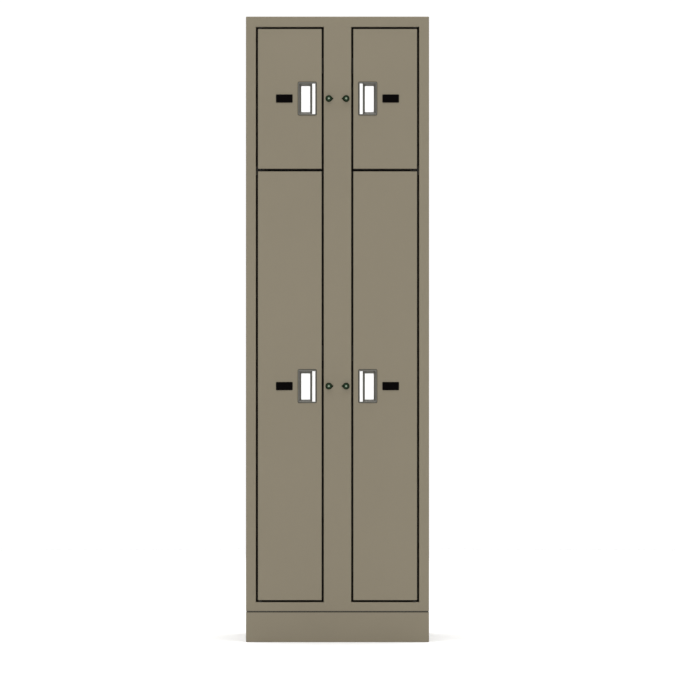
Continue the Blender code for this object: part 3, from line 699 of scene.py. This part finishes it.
def dress_nodes():
    group = weld_group()
    keep = box_group()
    for part in frame["record"]["subparts"]:
        node = frame["nodes"][part["node"]]
        node.material_slots[0].material = LOOKS[part["material_slot"]]
        modifier = node.modifiers.new("weld", "NODES")
        modifier.node_group = group
        soften(node, EDGE_R)
        modifier = node.modifiers.new("keep_in_box", "NODES")
        modifier.node_group = keep


# Pulls


def make_pull(name, side):
    """The drawn pull: a flat rim round a dish with three sloped walls and one upright one."""
    low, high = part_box(f"{name}_pull")
    half_w, half_h = (high.x - low.x) / 2, (high.z - low.z) / 2
    front = low.y + PULL_PROUD
    origin = ((low.x + high.x) / 2, 0, (low.z + high.z) / 2)
    dish_w, dish_h = half_w - PULL_RIM_W, half_h - PULL_RIM_W
    mouth_w, mouth_h = dish_w - PULL_T, dish_h - PULL_T
    latch = PULL_TAPER_W - dish_w

    def dish(grow, bevel, radius):
        """The dish's outline, with its sloped walls drawn in by bevel and its latch side upright."""
        drop = PULL_DROP * bevel / PULL_BEVEL_W
        low_z, high_z = -mouth_h - grow + bevel - drop, mouth_h + grow - bevel - drop
        far = mouth_w + grow - bevel * PULL_END_SHARE
        return rounded_rectangle(latch - grow, far, low_z, high_z, radius)

    def rim(inset, radius):
        w, h = half_w - inset, half_h - inset
        return rounded_rectangle(-w, w, -h, h, radius)

    floor = high.y - PULL_T
    stations = []
    for across, radius, deep in FLOOR_FILLET:
        bevel = PULL_BEVEL_W + across * PULL_FILLET
        stations.append((dish(0, bevel, radius), floor - deep * PULL_FILLET))
    for across, radius, deep in WALL_FILLET:
        stations.append((dish(0, across * PULL_FILLET, radius), front + deep * PULL_FILLET))
    for across, radius, deep in MOUTH_FILLET:
        stations.append((dish(across * PULL_FILLET, 0, radius), front + deep * PULL_FILLET))
    for inset, less, depth in RIM_EDGE:
        stations.append((rim(inset, PULL_CORNER_R - less), front + depth))
    rim_back = front + PULL_T
    stations.append((rim(0, PULL_CORNER_R), rim_back))
    stations.append((rim(PULL_RIM_W, DISH_BACK_R), rim_back))
    stations.append((dish(PULL_T, PULL_BEVEL_W, DISH_BACK_R), high.y))
    mesh, spans = lofted(stations)
    # The rim and the sloped walls take the dark stainless, as painted shade of the slopes.
    for span in spans:
        for face in span:
            face.material_index = 1
    # The floor's strip under the lip is painted dark too: a painted shadow of the lip.
    shade = PULL_SHADE_W - half_w
    bmesh.ops.bisect_plane(
        mesh, geom=[*mesh.faces, *mesh.edges, *mesh.verts], plane_co=(shade, 0, 0), plane_no=(1, 0, 0)
    )
    for face in mesh.faces:
        if face.calc_center_median().x < shade:
            face.material_index = 1
    pull = piece(
        f"{name}_drawn_pull", set_down(mesh, origin, side), LOOKS["pull_stainless"],
        f"{name}_door", [f"{name}_pull"],
    )
    pull.data.materials.append(SHADE_PAINTED_STAINLESS)
    make_lip(name, side, origin, LIP_INSET - half_w, (low.y, front), mouth_h)


def make_lip(name, side, origin, start, fronts, mouth_h):
    """The rolled lip beside the dish, from its edge at start; fronts are its own and the rim's."""
    lip_front, rim_front = fronts
    end = start + LIP_W
    roll = (end, lip_front + LIP_ROLL_R)
    hem = (end + LIP_ROLL_R - PULL_T / 2, lip_front + LIP_ROLL_R + LIP_HEM_D)
    section = [
        (start, rim_front + LIP_SEAT_D), (start, lip_front + LIP_END_R), (start + LIP_END_R, lip_front),
        *arc(roll, LIP_ROLL_R, 270, 360, LIP_OUTER_STEPS),
        *arc(hem, PULL_T / 2, 0, 180, LIP_HEM_STEPS),
        *arc(roll, LIP_ROLL_R - PULL_T, 360, 270, LIP_INNER_STEPS),
    ]
    mesh = prism(section, -mouth_h - LIP_OVERLAP, mouth_h + LIP_OVERLAP - LIP_TOP_GAP, "z")
    # The roll and hem take the dark stainless, as painted shade of the roll turning away.
    for face in mesh.faces:
        if face.calc_center_median().x > end:
            face.material_index = 1
    lip = piece(
        f"{name}_pull_lip", set_down(mesh, origin, side), LOOKS["pull_stainless"],
        f"{name}_door",
    )
    lip.data.materials.append(SHADE_PAINTED_STAINLESS)
    soften(lip, LIP_EDGE_R)


def make_trim(name, kind, corner, width, side):
    """A rubber bead on the door's face, round the pull or the number plate: a gasket whose black stands
    as a painted shadow line round the rim.
    """
    low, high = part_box(f"{name}_{kind}")
    half_w, half_h = (high.x - low.x) / 2, (high.z - low.z) / 2
    origin = ((low.x + high.x) / 2, 0, (low.z + high.z) / 2)
    front, back = FRONT - TRIM_T, FRONT - TRIM_CLEAR

    def outline(grow):
        w, h = half_w + grow, half_h + grow
        return rounded_rectangle(-w, w, -h, h, corner + grow)

    across, deep = TRIM_SHOULDER
    mesh, _ = lofted([
        (outline(TRIM_CLEAR), back), (outline(TRIM_CLEAR), front),
        (outline(width * TRIM_FLAT_SHARE), front), (outline(width * across), front + TRIM_T * deep),
        (outline(width), back),
    ], ring_shaped=True)
    piece(f"{name}_{kind}_trim", set_down(mesh, origin, side), SHADE_LINE_RUBBER, body=f"{name}_door")


# Locks


def make_bezel(name, side, centre):
    """The bezel with its pointed lug, which shows which way the bolt goes."""
    low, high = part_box(f"{name}_lock_bezel")
    face = low.y
    seat = face + BEZEL_H - LOCK_CLEAR
    profile = rounded([
        (BORE_R, face), (BEZEL_R - BEZEL_CHAMFER, face), (BEZEL_R, face + BEZEL_CHAMFER),
        (BEZEL_R, seat), (BARREL_R, seat), (BARREL_R, high.y), (BORE_R, high.y),
    ], BEZEL_EDGE_R)
    bezel = piece(
        f"{name}_turned_bezel", set_down(turned(profile), centre), LOOKS["lock_bezel"],
        "cabinet", [f"{name}_lock_bezel"],
    )
    root = arc((0, 0), (BARREL_R + BEZEL_R) / 2, *LUG_ROOT)
    tip_centre = (LUG_TIP_R - BEZEL_R - LUG_REACH, 0)
    outline = [root[0], *arc(tip_centre, LUG_TIP_R, *LUG_ROUND), root[-1]]
    lug = prism(outline, face + BEZEL_CHAMFER, seat)
    boolean(bezel, set_down(lug, centre, side), "UNION")
    smooth(bezel)


def make_button(name, centre, tip, end):
    """The push button, with a recess in its face for the key plug."""
    recess_r = PLUG_R + LOCK_CLEAR
    inner = tip + PLUG_L + PLUG_END_CLEAR
    profile = rounded([
        (0, inner), (recess_r, inner), (recess_r, tip), (BUTTON_R - BUTTON_CHAMFER, tip),
        (BUTTON_R, tip + BUTTON_CHAMFER), (BUTTON_R, end), (0, end),
    ], BUTTON_EDGE_R)
    piece(
        f"{name}_turned_button", set_down(turned(profile), centre), LOOKS["lock_button"],
        f"{name}_button", [f"{name}_lock_button"],
    )


def make_plug(name, centre, tip):
    """The key plug: a bright disc with the keyway in it, in a dark stepped ring."""
    profile = rounded([
        (0, tip), (PLUG_DISC_R, tip), (PLUG_DISC_R, tip + PLUG_STEP), (PLUG_R, tip + PLUG_STEP),
        (PLUG_R, tip + PLUG_L), (0, tip + PLUG_L),
    ], PLUG_EDGE_R)
    mesh = turned(profile)
    for face in mesh.faces:
        middle = face.calc_center_median()
        if math.hypot(middle.x, middle.z) > PLUG_DISC_R:
            face.material_index = 1
    plug = piece(
        f"{name}_turned_plug", set_down(mesh, centre), LOOKS["lock_nickel"],
        f"{name}_plug", [f"{name}_key_plug"],
    )
    plug.data.materials.append(LOOKS["lock_bezel"])
    outline = [(x * KEYWAY_W / 2, z * KEYWAY_H / 2) for x, z in KEYWAY]
    keyway = prism(outline, tip - KEYWAY_OVERRUN, tip + KEYWAY_D)
    boolean(plug, set_down(keyway, centre), "DIFFERENCE")
    smooth(plug)


def make_lock(name, side):
    low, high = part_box(f"{name}_lock_button")
    centre = Vector(((low.x + high.x) / 2, 0, (low.z + high.z) / 2))
    make_bezel(name, side, centre)
    make_button(name, centre, low.y, high.y)
    make_plug(name, centre, low.y)


# Seams, seals and catches


def seam_path(start, fold, depth):
    """A seam's line in section, down the front and round the fold, at a depth below the surface."""
    up = 1 if fold > start else -1
    turn_z = fold - up * BEND_R
    curve = arc((0, 0), BEND_R - depth, 0, 90, FOLD_STEPS)
    return [
        (FRONT + depth, start),
        *[(FRONT + BEND_R - across, turn_z + up * along) for across, along in curve],
        (FRONT + RETURN_D, fold - up * depth),
    ]


def make_seams():
    """The weld seams of the face frame, ground flush."""
    paint = LOOKS["paint"]
    seam = STILE_EDGE - SEAT / 2
    folds = (("top", OPENING_TOP + BEND_R, HEIGHT), ("bottom", OPENING_BOTTOM - BEND_R, BASE_TOP))
    for name, start, fold in folds:
        outline = seam_path(start, fold, SEAM_SINK) + seam_path(start, fold, SEAM_SINK + SEAM_D)[::-1]
        for side_name, side in SIDES:
            mesh = prism(outline, seam - SEAM_W / 2, seam + SEAM_W / 2, "x")
            piece(f"{side_name}_{name}_corner_seam", set_down(mesh, (0, 0, 0), side), paint)
    half = MULLION_EDGE - BEND_R
    front = FRONT + SEAM_SINK
    for name, seam in (("top", OPENING_TOP - SEAT / 2), ("bottom", OPENING_BOTTOM + SEAT / 2)):
        low, high = seam - SEAM_W / 2, seam + SEAM_W / 2
        outline = rounded_front(front, front + SEAM_D, low, high, SEAM_EDGE_R)
        piece(f"mullion_{name}_seam", prism(outline, -half, half, "x"), paint)


def make_base_bead():
    """The dark sealant in the groove between the bottom rail and the base: its dark is a painted shadow
    line in the groove.
    """
    upper, lower = [], []
    for i in range(BEAD_STEPS + 1):
        depth = BEAD_SINK + (BEAD_D - BEAD_SINK) * i / BEAD_STEPS
        rise = BEND_R - math.sqrt(BEND_R ** 2 - (BEND_R - depth) ** 2)
        upper.append((FRONT + depth, BASE_TOP + rise))
        lower.append((FRONT + depth, BASE_TOP - SEAT - rise))
    middle = BASE_TOP - SEAT / 2
    hollow = (FRONT + BEAD_SINK + BEAD_HOLLOW, middle)
    half = HALF_W - BEND_R
    mesh = prism([hollow, *upper, *lower[::-1]], -half, half, "x")
    piece("base_joint_bead", mesh, SHADOW_LINE_SEALANT)


def make_roof_sealer(name, side):
    """The painted sealer inside, along the joint of the side panel and the top cap."""
    low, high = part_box(f"{name}_shelf")
    wall = max(abs(low.x), abs(high.x)) + SEAT - TRIM_CLEAR
    joint = (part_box(f"{name}_side_panel")[1].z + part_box("top_cap")[0].z) / 2
    under, over = joint - SEALER_W / 2, joint + SEALER_W / 2
    mesh = prism(rounded_front(wall - SEALER_T, wall, under, over, SEALER_R), low.y, high.y)
    piece(f"{name}_roof_sealer", set_down(mesh, (0, 0, 0), side), LOOKS["paint"])


def upright_seal(near, far, front, back, low, high):
    """A seal along Z, rounded by no more than a third of its width."""
    section = rounded_front(front, back, near, far, min(SEAL_ROUND, (far - near) / 3))
    return prism([(across, depth) for depth, across in section], low, high, "z")


def level_seal(near, far, front, back, low, high):
    """A seal along X, rounded by no more than half its depth."""
    radius = min(SEAL_ROUND, (back - front) / 2)
    return prism(rounded_front(front, back, low, high, radius), near, far, "x")


def make_door_seals(name, side):
    """Black rubber on the stops that the door closes against, with its corners butted: a dark strip
    behind the door gaps, standing as painted shade in them.
    """
    catch_low, catch_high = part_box(f"{name}_magnetic_catch")
    upper = name.startswith("upper")
    low = MEETING_Z if upper else OPENING_BOTTOM + SEAL_CLEAR
    high = OPENING_TOP - SEAL_CLEAR if upper else MEETING_Z
    front = FRONT + DOOR_T + SEAL_TO_DOOR
    back = FRONT + STOP_D
    near = MULLION_EDGE + SEAL_CLEAR
    far = near + SEAL_W
    catch_x = min(abs(catch_low.x), abs(catch_high.x)) - SEAL_CLEAR
    under, over = catch_low.z - CATCH_CLEAR, catch_high.z + CATCH_CLEAR
    hinge_far = STILE_EDGE - SEAL_CLEAR
    hinge_near = hinge_far - HINGE_SEAL_T
    edge = high - SEAL_W if upper else low
    butt = far + SEAL_CLEAR
    tape_start = SEAL_END_X + SEAL_CLEAR
    hinge_low = low + BRACKET_HALF_H if upper else low + SEAL_W + SEAL_CLEAR
    hinge_high = high - SEAL_W - SEAL_CLEAR if upper else high - BRACKET_HALF_H
    mesh = merged([
        upright_seal(near, far, front, back, low, under),
        upright_seal(near, catch_x, front, back, under + SEAL_CLEAR, over - SEAL_CLEAR),
        upright_seal(near, far, front, back, over, high),
        upright_seal(hinge_near, hinge_far, back - HINGE_SEAL_D, back, hinge_low, hinge_high),
        level_seal(butt, SEAL_END_X, front, back, edge, edge + SEAL_W),
        level_seal(tape_start, hinge_far, back - TAPE_T, back, edge, edge + SEAL_W),
    ])
    piece(f"{name}_door_seal", set_down(mesh, (0, 0, 0), side), SHADE_LINE_RUBBER)


def make_edging(name, side):
    """The rubber bead round the door, flush with its front and with its sides: its black stands as
    painted shade along the door's rounded edge.
    """
    low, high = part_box(f"{name}_door_shell")
    half_w, half_h = (high.x - low.x) / 2, (high.z - low.z) / 2
    origin = ((low.x + high.x) / 2, 0, (low.z + high.z) / 2)
    stations = []
    for inset, depth in EDGING:
        w, h = half_w - inset, half_h - inset
        stations.append((rounded_rectangle(-w, w, -h, h, BEND_R - inset), FRONT + depth))
    mesh, _ = lofted(stations, ring_shaped=True)
    piece(f"{name}_door_shade_edging", set_down(mesh, origin, side), SHADE_LINE_RUBBER, body=f"{name}_door")


def make_meeting_seal(name, side):
    """The bumper on the shelf's front flange, which the upper and the lower door both close on: black,
    as painted shade in the gap where they meet.
    """
    front = FRONT + DOOR_T + SEAL_TO_DOOR
    low, high = MEETING_Z - MEETING_SEAL_H / 2, MEETING_Z + MEETING_SEAL_H / 2
    lip = MULLION_EDGE + STOP_LIP_W
    near = MULLION_EDGE + SEAL_CLEAR + SEAL_W + SEAL_CLEAR
    mesh = merged([
        level_seal(near, lip, front, FRONT + STOP_D, low, high),
        level_seal(lip + SEAL_CLEAR, SEAL_END_X, front, FRONT + SHELF_D, low, high),
    ])
    piece(f"{name}_meeting_seal", set_down(mesh, (0, 0, 0), side), SHADE_LINE_RUBBER)


def make_catch_screws(name):
    """Two flat-headed screws that hold the catch to the door stop."""
    low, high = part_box(f"{name}_magnetic_catch")
    face = low.y + CATCH_FACE_D
    screws = []
    for z in (low.z + SCREW_INSET, high.z - SCREW_INSET):
        profile = rounded([
            (0, face - SCREW_PROUD), (SCREW_R * SCREW_FLAT_SHARE, face - SCREW_PROUD), (SCREW_R, face),
            (0, face),
        ], SCREW_EDGE_R)
        screws.append(set_down(turned(profile, SCREW_SIDES), ((low.x + high.x) / 2, 0, z)))
    piece(f"{name}_catch_screws", merged(screws), LOOKS["lock_zinc"])


# Stage, lights and camera


def make_stage():
    disc = bmesh.new()
    bmesh.ops.create_circle(disc, cap_ends=True, segments=FLOOR_SIDES, radius=FLOOR_R)
    data = bpy.data.meshes.new("floor")
    disc.to_mesh(data)
    disc.free()
    floor = link(bpy.data.objects.new("floor", data))
    look = Look("pale_floor", FLOOR_TONES[0], roughness=0.8)
    look.bump(look.noise(scale=30, detail=3), strength=0.05, depth=0.001)
    look.paint(look.mix(look.noise(scale=2), *FLOOR_TONES))
    data.materials.append(look.material)


def area_light(name, place, aim, side, power):
    data = bpy.data.lights.new(name, "AREA")
    data.shape, data.size, data.energy = "SQUARE", side, power
    light = link(bpy.data.objects.new(name, data))
    light.location = place
    light.rotation_euler = Vector(aim).to_track_quat("-Z", "Y").to_euler()
    light.visible_camera = False


def make_lights():
    """Soft boxes in front, above and behind, and a white world that lights less than it shows."""
    before, behind = (0, FRONT_BOX_Y, FRONT_BOX_Z), (0, -FRONT_BOX_Y, BACK_BOX_Z)
    area_light("front_softbox", before, (0, 1, 0), FRONT_BOX_SIDE, FRONT_BOX_POWER)
    area_light("top_softbox", (0, 0, TOP_BOX_Z), (0, 0, -1), TOP_BOX_SIDE, TOP_BOX_POWER)
    area_light("back_softbox", behind, (0, -1, 0), FRONT_BOX_SIDE, BACK_BOX_POWER)
    world = bpy.data.worlds.new("studio")
    bpy.context.scene.world = world
    world.use_nodes = True
    nodes, links = world.node_tree.nodes, world.node_tree.links
    background = nodes["Background"]
    background.inputs["Color"].default_value = (1, 1, 1, 1)
    rays = nodes.new("ShaderNodeLightPath")
    strength = nodes.new("ShaderNodeMapRange")
    strength.inputs["To Min"].default_value = WORLD_LIGHT
    strength.inputs["To Max"].default_value = WORLD_SEEN
    links.new(rays.outputs["Is Camera Ray"], strength.inputs["Value"])
    links.new(strength.outputs["Result"], background.inputs["Strength"])


def make_camera():
    low, high = cad_box
    side = IMAGE_SIDE * METRES_PER_PIXEL
    distance = side * LENS / SENSOR
    height = (low.z + high.z) / 2 - (IMAGE_SIDE / 2 - CENTRE_ROW) * METRES_PER_PIXEL
    data = bpy.data.cameras.new("camera")
    data.lens, data.sensor_width = LENS, SENSOR
    data.clip_end = CLIP_END
    camera = link(bpy.data.objects.new("camera", data))
    camera.location = (0, FRONT - distance, height)
    camera.rotation_euler = (math.pi / 2, 0, 0)
    bpy.context.scene.camera = camera


def main():
    scene = bpy.context.scene
    scene.view_settings.view_transform = "Standard"
    make_camera()
    make_stage()
    make_lights()
    dress_nodes()
    make_seams()
    make_base_bead()
    for name, side in SIDES:
        make_roof_sealer(name, side)
        make_meeting_seal(name, side)
    for name, side in BAYS:
        make_pull(name, side)
        make_trim(name, "pull", PULL_CORNER_R, TRIM_W, side)
        make_trim(name, "number_plate", PLATE_CORNER_R, PLATE_TRIM_W, side)
        make_lock(name, side)
        make_edging(name, side)
        make_door_seals(name, side)
        make_catch_screws(name)


main()
